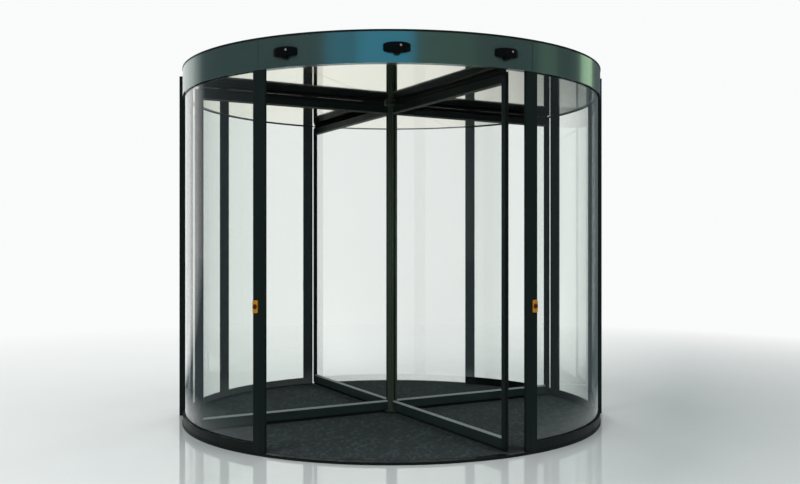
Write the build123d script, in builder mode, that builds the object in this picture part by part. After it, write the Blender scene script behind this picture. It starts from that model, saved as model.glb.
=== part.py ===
from build123d import *
import os
from math import asin, ceil, cos, degrees, radians, sin

# Automatic revolving door with four wings in a glass drum.
# Lengths are in millimetres and angles in degrees. The origin is on the drum's axis
# at ground level, +Z is up, and the front faces -Y. A bearing is an angle in plan that
# starts at the front and grows towards +X, so the right-hand side is at 90.

# Drum
drum_radius = 1800.0
ceiling_height = 2740.0
front_opening_half_angle = 33.0
back_opening_half_angle = 29.0
back_mid_post_angle = 65.0

# Floor tray and entrance mat
tray_height = 20.0
tray_plate = 6.0
tray_rim = 44.0
mat_gap = 1.0

# Upright posts and the glass between them
post_inset = 2.0
post_depth = 38.0
post_width = 96.0
post_corner = 3.0
nose_width = 44.0
nose_drop = 16.0
mid_post_width = 110.0
side_post_width = 60.0
side_post_reach = 60.0
glass_thickness = 12.0
glass_inset = 22.0
gasket = 1.0
groove_depth = 12.0
curb_height = 65.0
curb_depth = 36.0
curb_groove_depth = 15.0
curb_part_arc = 40.0
joint_gap = 0.3

# Canopy
canopy_height = 230.0
fascia_sheet = 5.0
fascia_lip = 3.0
fascia_lip_height = 14.0
head_depth = 41.0
head_height = 22.0
head_groove_depth = 14.0
ledge_width = 16.0
ledge_thickness = 4.0
ceiling_thickness = 12.0
roof_drop = 2.0
roof_thickness = 6.0
top_flange = 40.0
top_flange_drop = 20.0

# Rotor
wing_bearing = 27.0
wing_count = 4
running_gap = 5.0
brush_length = 20.0
brush_thickness = 8.0
brush_seat = 6.0
brush_play = 0.5
wing_thickness = 32.0
stile_width = 42.0
top_rail_height = 58.0
bottom_rail_height = 70.0
wing_glass_thickness = 10.0
wing_groove_depth = 14.0
glass_play = 2.0
rail_corner = 2.0
shaft_size = 60.0
shaft_corner = 8.0
lug_reach = 50.0

# Bearings at the two ends of the shaft
pivot_radius = 65.0
pivot_rise = 4.0
pivot_socket_depth = 12.0
foot_journal_radius = 22.0
head_journal_radius = 26.0
journal_gap = 0.5
seat_gap = 0.3
hub_radius = 70.0
hub_flange_size = 190.0
hub_flange_thickness = 10.0
hub_height = 60.0

# Sensors on the fascia and push buttons on the posts
sensor_bearing = 25.5
sensor_width = 190.0
sensor_front_width = 130.0
sensor_height = 68.0
sensor_depth = 46.0
sensor_bow = 8.0
sensor_rise = 70.0
sensor_bevel = 7.0
lens_radius = 24.0
lens_drop = 10.0
button_height = 1060.0
plate_width = 44.0
plate_height = 90.0
plate_thickness = 8.0
plate_corner = 5.0
cap_radius = 14.0
cap_thickness = 10.0
cap_taper = 3.0

# Levels and radii that follow from the sizes above
canopy_top = ceiling_height + canopy_height
roof_bottom = canopy_top - roof_drop - roof_thickness
fascia_radius = drum_radius - fascia_lip
post_outer = drum_radius - post_inset
post_inner = post_outer - post_depth
post_middle = (post_outer + post_inner) / 2
glass_outer = drum_radius - glass_inset
glass_inner = glass_outer - glass_thickness
glass_middle = (glass_outer + glass_inner) / 2
groove_width = glass_thickness + 2 * gasket
curb_inner = post_inner
curb_top = tray_height + curb_height
pane_bottom = curb_top - curb_groove_depth
pane_top = ceiling_height + head_groove_depth - gasket
rim_inner = drum_radius - tray_rim
head_inner = fascia_radius - head_depth
ledge_inner = head_inner - ledge_width
ceiling_bottom = ceiling_height + ledge_thickness
ceiling_top = ceiling_bottom + ceiling_thickness
wing_reach = post_inner - running_gap
stile_outer = wing_reach - brush_length
stile_inner = stile_outer - stile_width
wing_bottom = tray_height + running_gap + brush_length
wing_top = ceiling_height - running_gap - brush_length
rail_length = stile_inner - lug_reach
foot_level = tray_height + pivot_rise

# Post bearings on the right-hand side, and whether each one ends an opening:
# -1 where the opening lies at smaller bearings, 1 at larger ones, 0 where there is none
right_posts = {
    "front_{}_post": (front_opening_half_angle, -1, post_width),
    "{}_side_post": (90.0, 0, side_post_width),
    "back_{}_mid_post": (180.0 - back_mid_post_angle, 0, mid_post_width),
    "back_{}_post": (180.0 - back_opening_half_angle, 1, post_width),
}
panes = ["front_{}", "{}_side", "back_{}"]
sides = {"right": 1, "left": -1}
wings = ["front_right_wing", "back_right_wing", "back_left_wing", "front_left_wing"]


def outward(bearing, radius=1.0, height=0.0):
    """Point at a bearing, a radius and a height."""
    turn = radians(bearing - 90)
    return Vector(radius * cos(turn), radius * sin(turn), height)


def upright_plane(bearing):
    """Upright plane through the axis: x runs outwards and y up."""
    out = outward(bearing)
    return Plane(origin=(0, 0, 0), x_dir=out, z_dir=(out.Y, -out.X, 0))


def plan_plane(bearing, height):
    """Level plane on the axis: x runs outwards and y towards larger bearings."""
    return Plane(origin=(0, 0, height), x_dir=outward(bearing), z_dir=(0, 0, 1))


def facing_plane(bearing, radius, height):
    """Upright plane that faces outwards: x runs towards larger bearings and y up."""
    out = outward(bearing)
    return Plane(origin=outward(bearing, radius, height), x_dir=(-out.Y, out.X, 0), z_dir=out)


def save(builder, name):
    """Label a finished piece and write it to its own file."""
    builder.part.label = name
    export_step(builder.part, f"parts/{name}.step")


# Floor tray: a round plate with a raised rim that the walls stand on
with BuildPart() as floor_tray:
    with BuildSketch():
        Circle(drum_radius)
    extrude(amount=tray_height)
    with BuildSketch(Plane.XY.offset(tray_plate)):
        Circle(rim_inner)
    extrude(amount=tray_height - tray_plate, mode=Mode.SUBTRACT)
save(floor_tray, "floor_tray")

# Entrance mat, laid in the tray around the floor pivot
with BuildPart() as entrance_mat:
    with BuildSketch(Plane.XY.offset(tray_plate)):
        Circle(rim_inner - mat_gap)
        Circle(pivot_radius + mat_gap, mode=Mode.SUBTRACT)
    extrude(amount=tray_height - tray_plate)
save(entrance_mat, "entrance_mat")

# Floor pivot: a low boss with a socket for the shaft's foot
with BuildPart() as floor_pivot:
    with BuildSketch(Plane.XY.offset(tray_plate)):
        Circle(pivot_radius)
    extrude(amount=foot_level - tray_plate)
    with BuildSketch(Plane.XY.offset(foot_level)):
        Circle(foot_journal_radius + journal_gap)
    extrude(amount=-pivot_socket_depth, mode=Mode.SUBTRACT)
save(floor_pivot, "floor_pivot")

# Posts: grooved extrusions, with a bevelled nose towards an opening
for side_name, side in sides.items():
    for pattern, (bearing, opening, width) in right_posts.items():
        is_side_post = pattern.startswith("{}")
        glass_sides = [s for s in (-1, 1) if s != opening]
        with BuildPart() as post:
            with BuildSketch(plan_plane(side * bearing, tray_height)) as section:
                with Locations((post_middle, 0)):
                    Rectangle(post_depth, width)
                fillet(section.vertices(), post_corner)
                for glass_side in glass_sides:
                    with Locations((glass_middle, side * glass_side * (width - groove_depth) / 2)):
                        Rectangle(groove_width, groove_depth, mode=Mode.SUBTRACT)
                if opening:
                    nose = side * opening
                    with BuildLine():
                        Polyline(
                            (post_outer, nose * (width / 2 - nose_width)),
                            (post_outer, nose * width / 2),
                            (post_outer - nose_drop, nose * width / 2),
                            close=True,
                        )
                    make_face(mode=Mode.SUBTRACT)
            extrude(amount=ceiling_height - tray_height)
            if is_side_post:
                reach = drum_radius + joint_gap
                with BuildSketch(plan_plane(side * bearing, 0)):
                    with Locations((reach, 0)):
                        Rectangle(side_post_reach, width, align=(Align.MIN, Align.CENTER))
                extrude(amount=canopy_top)
                with BuildSketch(plan_plane(side * bearing, tray_height)):
                    with Locations((post_outer - post_corner, 0)):
                        Rectangle(
                            reach - post_outer + post_corner,
                            width - 2 * post_corner,
                            align=(Align.MIN, Align.CENTER),
                        )
                extrude(amount=ceiling_height - tray_height)
        save(post, pattern.format(side_name))

# Curved panes and the low curbs that carry them, one of each between two posts
stations = list(right_posts.values())
for side_name, side in sides.items():
    for pattern, before, after in zip(panes, stations, stations[1:]):
        first, last = sorted((side * before[0], side * after[0]))
        widths = (before[2], after[2]) if side > 0 else (after[2], before[2])
        pane_margins = [(w / 2 - groove_depth + glass_play) / glass_middle for w in widths]
        curb_margins = [asin((w / 2 + joint_gap) / curb_inner) for w in widths]
        pane_start = first + degrees(pane_margins[0])
        pane_arc = last - degrees(pane_margins[1]) - pane_start
        curb_start = first + degrees(curb_margins[0])
        curb_arc = last - degrees(curb_margins[1]) - curb_start

        with BuildPart() as pane:
            with BuildSketch(upright_plane(pane_start)):
                with Locations((glass_inner, pane_bottom)):
                    Rectangle(
                        glass_thickness,
                        pane_top - pane_bottom,
                        align=(Align.MIN, Align.MIN),
                    )
            revolve(axis=Axis.Z, revolution_arc=pane_arc)
        save(pane, pattern.format(side_name) + "_glass")

        curb_parts = ceil(curb_arc / curb_part_arc)
        joint = degrees(joint_gap / curb_inner)
        with BuildPart() as curb:
            for part in range(curb_parts):
                part_start = curb_start + part * (curb_arc + joint) / curb_parts
                with BuildSketch(upright_plane(part_start)):
                    with Locations((curb_inner, tray_height)):
                        Rectangle(curb_depth, curb_height, align=(Align.MIN, Align.MIN))
                    with Locations((glass_middle, curb_top)):
                        Rectangle(
                            groove_width,
                            curb_groove_depth,
                            align=(Align.CENTER, Align.MAX),
                            mode=Mode.SUBTRACT,
                        )
                revolve(axis=Axis.Z, revolution_arc=(curb_arc + joint) / curb_parts - joint)
        save(curb, pattern.format(side_name) + "_curb")

# Fascia: a curved cladding with a lip, a head channel for the glass and a ceiling ledge
for half_name, start in (("front", -90.0), ("back", 90.0)):
    with BuildPart() as fascia:
        with BuildSketch(upright_plane(start)):
            with BuildLine():
                Polyline(
                    (fascia_radius, ceiling_height),
                    (fascia_radius, canopy_top - fascia_lip_height),
                    (drum_radius, canopy_top - fascia_lip_height + fascia_lip),
                    (drum_radius, canopy_top),
                    (fascia_radius - fascia_sheet, canopy_top),
                    (fascia_radius - fascia_sheet, roof_bottom),
                    (fascia_radius - top_flange, roof_bottom),
                    (fascia_radius - fascia_sheet, roof_bottom - top_flange_drop),
                    (fascia_radius - fascia_sheet, ceiling_height + head_height),
                    (head_inner, ceiling_height + head_height),
                    (head_inner, ceiling_bottom),
                    (ledge_inner, ceiling_bottom),
                    (ledge_inner, ceiling_height),
                    close=True,
                )
            make_face()
            with Locations((glass_middle, ceiling_height)):
                Rectangle(
                    groove_width,
                    head_groove_depth,
                    align=(Align.CENTER, Align.MIN),
                    mode=Mode.SUBTRACT,
                )
        revolve(axis=Axis.Z, revolution_arc=180)
    save(fascia, f"{half_name}_fascia")

# Ceiling panel, laid on the fascia's ledge
with BuildPart() as canopy_ceiling:
    with BuildSketch(Plane.XY.offset(ceiling_bottom)):
        Circle(head_inner - gasket)
        Circle(hub_radius + gasket, mode=Mode.SUBTRACT)
    extrude(amount=ceiling_thickness)
save(canopy_ceiling, "canopy_ceiling")

# Roof panel, laid on the fascia's top flange
with BuildPart() as canopy_roof:
    with BuildSketch(Plane.XY.offset(roof_bottom)):
        Circle(fascia_radius - fascia_sheet - gasket)
    extrude(amount=roof_thickness)
save(canopy_roof, "canopy_roof")

# Hub: the bearing housing in the ceiling, hung by its flange
with BuildPart() as ceiling_hub:
    with BuildSketch(Plane.XY.offset(ceiling_height)):
        Circle(hub_radius)
    extrude(amount=hub_height)
    with BuildSketch(Plane.XY.offset(ceiling_top)):
        Rectangle(hub_flange_size, hub_flange_size)
    extrude(amount=hub_flange_thickness)
    with BuildSketch(Plane.XY.offset(ceiling_height)):
        Circle(head_journal_radius + journal_gap)
    extrude(amount=hub_height, mode=Mode.SUBTRACT)
save(ceiling_hub, "ceiling_hub")

# Motion sensors: bowed housings with a lens drum below, three on each side of the canopy
sensor_bottom = ceiling_height + sensor_rise
sensor_front = fascia_radius + sensor_depth
with BuildPart() as canopy_sensors:
    for face_bearing in (0.0, 180.0):
        for offset_bearing in (-sensor_bearing, 0.0, sensor_bearing):
            bearing = face_bearing + offset_bearing
            with BuildSketch(plan_plane(bearing, sensor_bottom)):
                with BuildLine():
                    Polyline(
                        (sensor_front - sensor_bow, -sensor_front_width / 2),
                        (fascia_radius - fascia_sheet, -sensor_width / 2),
                        (fascia_radius - fascia_sheet, sensor_width / 2),
                        (sensor_front - sensor_bow, sensor_front_width / 2),
                    )
                    ThreePointArc(
                        (sensor_front - sensor_bow, -sensor_front_width / 2),
                        (sensor_front, 0),
                        (sensor_front - sensor_bow, sensor_front_width / 2),
                    )
                make_face()
            housing = extrude(amount=sensor_height)
            front = housing.faces().sort_by(Axis((0, 0, 0), outward(bearing)))[-1]
            rims = front.edges().filter_by(GeomType.CIRCLE)
            chamfer(rims, sensor_bevel)
            with BuildSketch(plan_plane(bearing, sensor_bottom - lens_drop)):
                with Locations((sensor_front - lens_radius, 0)):
                    Circle(lens_radius)
            extrude(amount=lens_drop)
    with BuildSketch(Plane.XY.offset(ceiling_height)):
        Circle(fascia_radius + joint_gap)
    extrude(amount=canopy_height, mode=Mode.SUBTRACT)
save(canopy_sensors, "canopy_sensors")

# Push buttons: a plate on each opening post, clear of its nose, and a cap on each plate
button_posts = [
    (side * bearing, -side * opening)
    for side in sides.values()
    for bearing, opening, width in right_posts.values()
    if opening
]
plate_offset = (post_width - plate_width) / 2 - post_corner
with BuildPart() as button_plates:
    for bearing, wall_side in button_posts:
        with BuildSketch(facing_plane(bearing, post_outer, button_height)) as face:
            with Locations((wall_side * plate_offset, 0)):
                Rectangle(plate_width, plate_height)
            chamfer(face.vertices(), plate_corner)
        extrude(amount=plate_thickness)
save(button_plates, "button_plates")

with BuildPart() as button_caps:
    for bearing, wall_side in button_posts:
        with BuildSketch(facing_plane(bearing, post_outer + plate_thickness, button_height)):
            with Locations((wall_side * plate_offset, 0)):
                Circle(cap_radius)
        extrude(amount=cap_thickness, taper=cap_taper)
save(button_caps, "button_caps")

# Shaft: a square tube form with a glazing lug towards each wing and a journal at each end
with BuildPart() as centre_shaft:
    with BuildSketch(plan_plane(wing_bearing, wing_bottom)) as section:
        RectangleRounded(shaft_size, shaft_size, shaft_corner)
        with PolarLocations(0, wing_count):
            Rectangle(lug_reach, wing_thickness, align=(Align.MIN, Align.CENTER))
        with PolarLocations(lug_reach, wing_count):
            Rectangle(
                wing_groove_depth,
                wing_glass_thickness + 2 * gasket,
                align=(Align.MAX, Align.CENTER),
                mode=Mode.SUBTRACT,
            )
    extrude(amount=wing_top - wing_bottom)
    with BuildSketch(Plane.XY.offset(foot_level - pivot_socket_depth + seat_gap)):
        Circle(foot_journal_radius)
    extrude(until=Until.NEXT)
    with BuildSketch(Plane.XY.offset(wing_top)):
        Circle(head_journal_radius)
    extrude(amount=ceiling_height + hub_height - wing_top)
save(centre_shaft, "centre_shaft")

# Wings: a glass leaf held by a stile, a top rail and a bottom rail
pane_edge = wing_groove_depth - glass_play
groove = wing_glass_thickness + 2 * gasket
seat_width = brush_thickness + 2 * brush_play
for index, wing in enumerate(wings):
    bearing = wing_bearing + index * 360 / wing_count

    with BuildPart() as stile:
        with BuildSketch(plan_plane(bearing, wing_bottom)) as section:
            with Locations((stile_inner, 0)):
                Rectangle(stile_width, wing_thickness, align=(Align.MIN, Align.CENTER))
            fillet(section.vertices().group_by(Axis((0, 0, 0), outward(bearing)))[-1], rail_corner)
            with Locations((stile_inner, 0)):
                Rectangle(
                    wing_groove_depth,
                    groove,
                    align=(Align.MIN, Align.CENTER),
                    mode=Mode.SUBTRACT,
                )
            with Locations((stile_outer, 0)):
                Rectangle(
                    brush_seat,
                    seat_width,
                    align=(Align.MAX, Align.CENTER),
                    mode=Mode.SUBTRACT,
                )
        extrude(amount=wing_top - wing_bottom)
        with BuildSketch(facing_plane(bearing, stile_inner, 0)):
            for level, upwards in ((wing_bottom, Align.MIN), (wing_top, Align.MAX)):
                with Locations((0, level)):
                    Rectangle(seat_width, brush_seat, align=(Align.CENTER, upwards))
        extrude(amount=stile_width, mode=Mode.SUBTRACT)
    save(stile, f"{wing}_stile")

    for rail_name, glass_level, brush_level, upwards in (
        ("bottom_rail", wing_bottom + bottom_rail_height, wing_bottom, 1),
        ("top_rail", wing_top - top_rail_height, wing_top, -1),
    ):
        from_glass, from_brush = (Align.MAX, Align.MIN) if upwards > 0 else (Align.MIN, Align.MAX)
        with BuildPart() as rail:
            with BuildSketch(facing_plane(bearing, lug_reach, 0)) as section:
                with Locations((0, (glass_level + brush_level) / 2)):
                    Rectangle(wing_thickness, abs(glass_level - brush_level))
                chamfer(section.vertices(), rail_corner)
                with Locations((0, glass_level)):
                    Rectangle(
                        groove,
                        wing_groove_depth,
                        align=(Align.CENTER, from_glass),
                        mode=Mode.SUBTRACT,
                    )
                with Locations((0, brush_level)):
                    Rectangle(
                        seat_width,
                        brush_seat,
                        align=(Align.CENTER, from_brush),
                        mode=Mode.SUBTRACT,
                    )
            extrude(amount=rail_length)
        save(rail, f"{wing}_{rail_name}")

    glass_bottom = wing_bottom + bottom_rail_height - wing_groove_depth
    glass_top = wing_top - top_rail_height + pane_edge
    with BuildPart() as leaf:
        with BuildSketch(facing_plane(bearing, lug_reach - pane_edge, 0)):
            with Locations((0, glass_bottom)):
                Rectangle(
                    wing_glass_thickness,
                    glass_top - glass_bottom,
                    align=(Align.CENTER, Align.MIN),
                )
        extrude(amount=rail_length + 2 * pane_edge)
    save(leaf, f"{wing}_glass")

# Brush seals, set in the seats along the foot, the head and the outer edge of every wing
brush_start = head_journal_radius + lug_reach
brush_end = stile_outer - brush_seat - joint_gap
with BuildPart() as brush_seals:
    for index in range(wing_count):
        bearing = wing_bearing + index * 360 / wing_count
        for level in (wing_bottom - brush_length, wing_top - brush_seat):
            with BuildSketch(plan_plane(bearing, level)):
                with Locations((brush_start, 0)):
                    Rectangle(
                        brush_end - brush_start,
                        brush_thickness,
                        align=(Align.MIN, Align.CENTER),
                    )
            extrude(amount=brush_length + brush_seat)
        with BuildSketch(plan_plane(bearing, wing_bottom - brush_length)):
            with Locations((wing_reach, 0)):
                Rectangle(
                    brush_length + brush_seat,
                    brush_thickness,
                    align=(Align.MAX, Align.CENTER),
                )
        extrude(amount=wing_top - wing_bottom + 2 * brush_length)
save(brush_seals, "brush_seals")
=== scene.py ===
# %% [markdown]
# # A revolving door with four glazed wings
#
# The real thing is a round glass drum with a canopy over it. Four glass wings turn in
# it round a centre shaft. Its frames are coated metal extrusions, its panes are bent
# safety glass, and soft brushes close the gaps.
#
# The construction comes first, as a fixed frame of solids that are never moved or
# reshaped here. This lesson dresses them: it builds the parts that need finer meshes
# than a solid model has, and it writes every finish as shader nodes.

# %% Load the fixed frame
import math
import random

import bmesh
import bpy
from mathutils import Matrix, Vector


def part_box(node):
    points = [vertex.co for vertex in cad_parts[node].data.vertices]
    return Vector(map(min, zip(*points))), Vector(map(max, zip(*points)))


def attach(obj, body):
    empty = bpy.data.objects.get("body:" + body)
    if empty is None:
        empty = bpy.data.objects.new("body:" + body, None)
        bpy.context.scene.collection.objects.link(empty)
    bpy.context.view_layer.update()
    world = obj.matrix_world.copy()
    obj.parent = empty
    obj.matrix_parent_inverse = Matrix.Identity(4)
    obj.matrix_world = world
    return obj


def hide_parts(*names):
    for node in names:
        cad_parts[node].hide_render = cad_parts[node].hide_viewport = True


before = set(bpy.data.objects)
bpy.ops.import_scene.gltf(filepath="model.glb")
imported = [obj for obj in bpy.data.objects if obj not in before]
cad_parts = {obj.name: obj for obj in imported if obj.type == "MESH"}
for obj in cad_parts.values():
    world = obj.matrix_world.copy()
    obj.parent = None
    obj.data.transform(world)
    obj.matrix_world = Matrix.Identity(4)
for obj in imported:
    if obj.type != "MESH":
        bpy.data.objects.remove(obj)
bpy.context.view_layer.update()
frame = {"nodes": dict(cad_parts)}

nodes = frame["nodes"]

# %% [markdown]
# ## Sizes read from the solids
#
# Everything is in metres. The few lengths that the new meshes share with the solids
# are read from the solids' boxes, so that a change in the construction carries over.

# %% Read the sizes that the meshes share
drum_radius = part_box("floor_tray")[1].x
tray_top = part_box("floor_tray")[1].z
mat_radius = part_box("entrance_mat")[1].x
ceiling_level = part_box("ceiling_hub")[0].z
canopy_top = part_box("front_fascia")[1].z
curb_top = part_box("front_right_curb")[1].z
pane_bottom, pane_top = (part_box("front_right_glass")[i].z for i in (0, 1))
trim_depth, pane_inset, pane_thickness = 0.003, 0.022, 0.012
fascia_radius = drum_radius - trim_depth
pane_outer = drum_radius - pane_inset
pane_inner = pane_outer - pane_thickness
post_outer = drum_radius - 0.002
wing_bottom, wing_top = (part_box("front_right_wing_stile")[i].z for i in (0, 1))
bottom_rail_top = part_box("front_right_wing_bottom_rail")[1].z
top_rail_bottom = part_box("front_right_wing_top_rail")[0].z
lug_reach, stile_inner, stile_outer = 0.050, 1.693, 1.735
wing_half = 0.016
wing_bearings = {
    "front_right_wing": 27.0,
    "back_right_wing": 117.0,
    "back_left_wing": 207.0,
    "front_left_wing": 297.0,
}
# Bearing and width of the posts on the right, from the front to the back.
right_posts = [(33.0, 0.096), (90.0, 0.060), (115.0, 0.110), (151.0, 0.096)]
print(f"drum radius {drum_radius:.3f} m, ceiling at {ceiling_level:.3f} m, top {canopy_top:.3f} m")


def at(bearing, radius, height, across=0.0):
    """Point at a bearing in degrees from the front, growing towards +X."""
    turn = math.radians(bearing)
    out = Vector((math.sin(turn), -math.cos(turn), 0))
    return out * radius + Vector((-out.y, out.x, 0)) * across + Vector((0, 0, height))


# %% [markdown]
# ## Camera
#
# The camera comes first, because it decides which detail counts. It stands a little
# over four drum radii from the axis, level and at eye height. A level camera keeps
# upright posts upright in the picture.

# %% Place a level camera at eye height
eye = Vector((-0.146, -7.788, 1.52))
turned_right = 1.6
camera = bpy.data.objects.new("camera", bpy.data.cameras.new("camera"))
bpy.context.scene.collection.objects.link(camera)
camera.location = eye
camera.rotation_euler = (math.radians(90), 0, math.radians(-turned_right))
camera.data.sensor_width = 36.0
camera.data.lens = 39.63
camera.data.clip_end = 200.0
bpy.context.scene.camera = camera
bpy.context.scene.view_settings.view_transform = "Standard"
print(f"camera {-eye.y:.2f} m in front of the axis, lens {camera.data.lens} mm")

# %% [markdown]
# ## Writing finishes as expressions
#
# A finish is a small program: its values vary over the surface. `Value` wraps a socket
# so that Python's own operators add the Math nodes. `Nodes` holds one node tree, and its
# single `node` method adds any node from a type, its settings and its sockets. `Finish`
# is the tree of one material, with the few patterns that most finishes here share.

# %% A value that can be calculated with
class Value:
    def __init__(self, nodes, socket):
        self.nodes = nodes
        self.socket = socket

    def other(self, name):
        """Another output of the node that this value comes from."""
        return Value(self.nodes, self.socket.node.outputs[name])

    def maths(self, operation, *others, clamp=False):
        settings = {"operation": operation, "use_clamp": clamp}
        return self.nodes.node("ShaderNodeMath", settings, dict(enumerate((self, *others))))

    def __add__(self, other):
        return self.maths("ADD", other)

    def __mul__(self, other):
        return self.maths("MULTIPLY", other)

    def __sub__(self, other):
        return self.maths("SUBTRACT", other)

    def __rsub__(self, other):
        return (self * -1.0) + other

    def __truediv__(self, other):
        return self.maths("DIVIDE", other)

    def between(self, low, high):
        """0 below low and 1 above high, with a straight slope between them."""
        return ((self - low) / (high - low)).maths("ADD", 0.0, clamp=True)


# %% A node tree and its one method for nodes
class Nodes:
    def __init__(self, tree):
        self.tree = tree

    def node(self, kind, settings=None, sockets=None, output=0):
        node = self.tree.nodes.new(kind)
        for name, setting in (settings or {}).items():
            setattr(node, name, setting)
        for name, value in (sockets or {}).items():
            self.feed(node.inputs[name], value)
        return Value(self, node.outputs[output])

    def feed(self, socket, value):
        """Links a value to a socket, or sets the socket's own number or colour."""
        if isinstance(value, Value):
            self.tree.links.new(value.socket, socket)
        else:
            socket.default_value = colour(value)

    def shade(self, factor, first, second):
        """A shader between two others."""
        return self.node("ShaderNodeMixShader", None, {0: factor, 1: first, 2: second})

    def show(self, shader, end):
        """Makes a shader the one that the tree's last node gives out."""
        self.feed(self.tree.nodes[end].inputs["Surface"], shader)


def colour(value):
    """A colour of three parts gets the fourth that a socket wants."""
    return (*value, 1.0) if isinstance(value, tuple) and len(value) == 3 else value


# %% A finish and its patterns
class Finish(Nodes):
    def __init__(self, name):
        self.material = bpy.data.materials.new(name)
        self.material.use_nodes = True
        super().__init__(self.material.node_tree)
        self.shader = self.tree.nodes["Principled BSDF"]
        self.place = self.node("ShaderNodeTexCoord", output="Object")

    def noise(self, size, detail=3.0, stretch=(1, 1, 1)):
        """Soft random values from 0 to 1 with features of about this size in metres."""
        scaled = self.node(
            "ShaderNodeVectorMath",
            {"operation": "MULTIPLY"},
            {0: self.place, 1: Vector([1 / s for s in stretch])},
        )
        sockets = {"Vector": scaled, "Scale": 1 / size, "Detail": detail}
        return self.node("ShaderNodeTexNoise", None, sockets)

    def mix(self, factor, first, second):
        """A colour between two others."""
        sockets = {0: factor, 6: first, 7: second}
        return self.node("ShaderNodeMix", {"data_type": "RGBA"}, sockets, output=2)

    def bump(self, height, depth, strength=1.0, normal=None):
        """A normal for relief this deep in metres."""
        sockets = {"Height": height, "Distance": depth, "Strength": strength}
        if normal:
            sockets["Normal"] = normal
        return self.node("ShaderNodeBump", None, sockets)

    def worn_edges(self, radius):
        """A normal that rounds the edges, and a mask that is 1 on them."""
        soft = self.node("ShaderNodeBevel", {"samples": 4}, {"Radius": radius})
        flat = self.node("ShaderNodeNewGeometry", output="Normal")
        along = self.node(
            "ShaderNodeVectorMath", {"operation": "DOT_PRODUCT"}, {0: soft, 1: flat}, "Value"
        )
        return soft, (1 - along).between(0.02, 0.25)

    def surface(self, **sockets):
        """Sets the shader's own sockets: Base_Color is the socket Base Color."""
        for name, value in sockets.items():
            self.feed(self.shader.inputs[name.replace("_", " ")], value)
        return self.material


def dressed(node_names, material):
    """Gives solids a finish through their objects' own material slots."""
    for name in node_names:
        for place in nodes[name].material_slots:
            place.link = "OBJECT"
            place.material = material
    print(f"{material.name} on {len(node_names)} solids")


# %% [markdown]
# ## Studio: floor, background and light
#
# A pale floor takes the object's shadow and a soft reflection. Away from the object it
# fades into plain white by a Mix Shader factor, so that no horizon line shows through
# the glass. The white is only for rays that look at it: the light on the object comes
# from the lamps and a weaker world.
#
# Glass and gloss need something to reflect. All white round the door would wash a haze
# over every pane, so that the frames behind it turn grey. So reflections find a dim
# surround in front of the door and the white again behind it, with a little more white
# on the left.

# %% What a ray sees far away
white = (0.95, 0.97, 0.96)
dim_surround = (0.10, 0.125, 0.135)
# The white is centred on this direction, and it ends softly between the two shares.
white_left, white_back = 0.35, 0.94
white_ends = (0.76, 0.90)


def backdrop(nodes, direction, kind):
    """The far shader, a mask of the rays that look, and a mask of the reflected ones."""
    path = nodes.node("ShaderNodeLightPath")
    looks = path.other("Is Camera Ray")
    for name in ("Is Glossy Ray", "Is Transmission Ray"):
        looks = looks.maths("MAXIMUM", path.other(name))
    reflected = path.other("Glossy Depth").maths("MINIMUM", 1.0)
    unit = nodes.node("ShaderNodeVectorMath", {"operation": "NORMALIZE"}, {0: direction}, "Vector")
    x = nodes.node("ShaderNodeSeparateXYZ", None, {0: unit}, "X")
    behind = (x.other("Y") * white_back - x * white_left).between(*white_ends)
    dim = nodes.node(kind, None, {"Color": dim_surround, "Strength": 1.0})
    bright = nodes.node(kind, None, {"Color": white, "Strength": 1.0})
    return nodes.shade(1 - reflected * (1 - behind), dim, bright), looks, reflected


# %% [markdown]
# The floor fades sooner in a reflection than to the eye, so that the panes mirror only
# the floor at their own foot and the frames behind them stay dark.

# %% Pale floor that fades to the backdrop
studio_floor = bpy.data.meshes.new("studio_floor")
reach = 60.0
corners = [(-reach, -reach, 0), (reach, -reach, 0), (reach, reach, 0), (-reach, reach, 0)]
studio_floor.from_pydata(corners, [], [(0, 1, 2, 3)])
floor = bpy.data.objects.new("studio_floor", studio_floor)
bpy.context.scene.collection.objects.link(floor)

finish = Finish("studio_floor")
far = finish.node("ShaderNodeVectorMath", {"operation": "LENGTH"}, {0: finish.place}, "Value")
cloud = finish.noise(0.9, detail=4)
finish.surface(
    Base_Color=finish.mix(cloud, (0.77, 0.825, 0.81), (0.84, 0.89, 0.875)),
    Roughness=finish.noise(0.25) * 0.05 + 0.03,
    Specular_IOR_Level=0.75,
)
distant, looks, reflected = backdrop(finish, finish.place, "ShaderNodeEmission")
near = Value(finish, finish.shader.outputs["BSDF"])
fade_start, fade_end = 2.6, 9.0
fade = far.between(fade_start - reflected * 0.7, fade_end - reflected * 6.0)
finish.show(finish.shade(looks * fade, near, distant), "Material Output")
studio_floor.materials.append(finish.material)
print(f"floor fades to white between {fade_start} m and {fade_end} m from the axis")

# %% World: white to look at, weaker as a light
ambient_strength = 0.42
world = bpy.data.worlds.new("studio")
bpy.context.scene.world = world
world.use_nodes = True
sky = Nodes(world.node_tree)
outward = sky.node("ShaderNodeTexCoord", output="Generated")
distant, looks, _ = backdrop(sky, outward, "ShaderNodeBackground")
sockets = {"Color": (0.95, 0.98, 1.0), "Strength": ambient_strength}
ambient = sky.node("ShaderNodeBackground", None, sockets)
sky.show(sky.shade(looks, ambient, distant), "World Output")
print("world strength", ambient_strength, "as a light")

# %% [markdown]
# Four large lamps light the door, two in front, one behind and one above. Their size
# keeps the shadows soft, and reflections don't show them as hard bright squares.

# %% Soft lamps
def softbox(name, place, target, size, power):
    """A large square lamp that looks at a point and shows in no reflection."""
    lamp = bpy.data.objects.new(name, bpy.data.lights.new(name, "AREA"))
    bpy.context.scene.collection.objects.link(lamp)
    lamp.location = place
    lamp.rotation_mode = "QUATERNION"
    lamp.rotation_quaternion = (Vector(target) - Vector(place)).to_track_quat("-Z", "Y")
    lamp.data.size = size
    lamp.data.energy = power
    lamp.visible_camera = False
    lamp.visible_transmission = False
    lamp.visible_glossy = False


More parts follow.
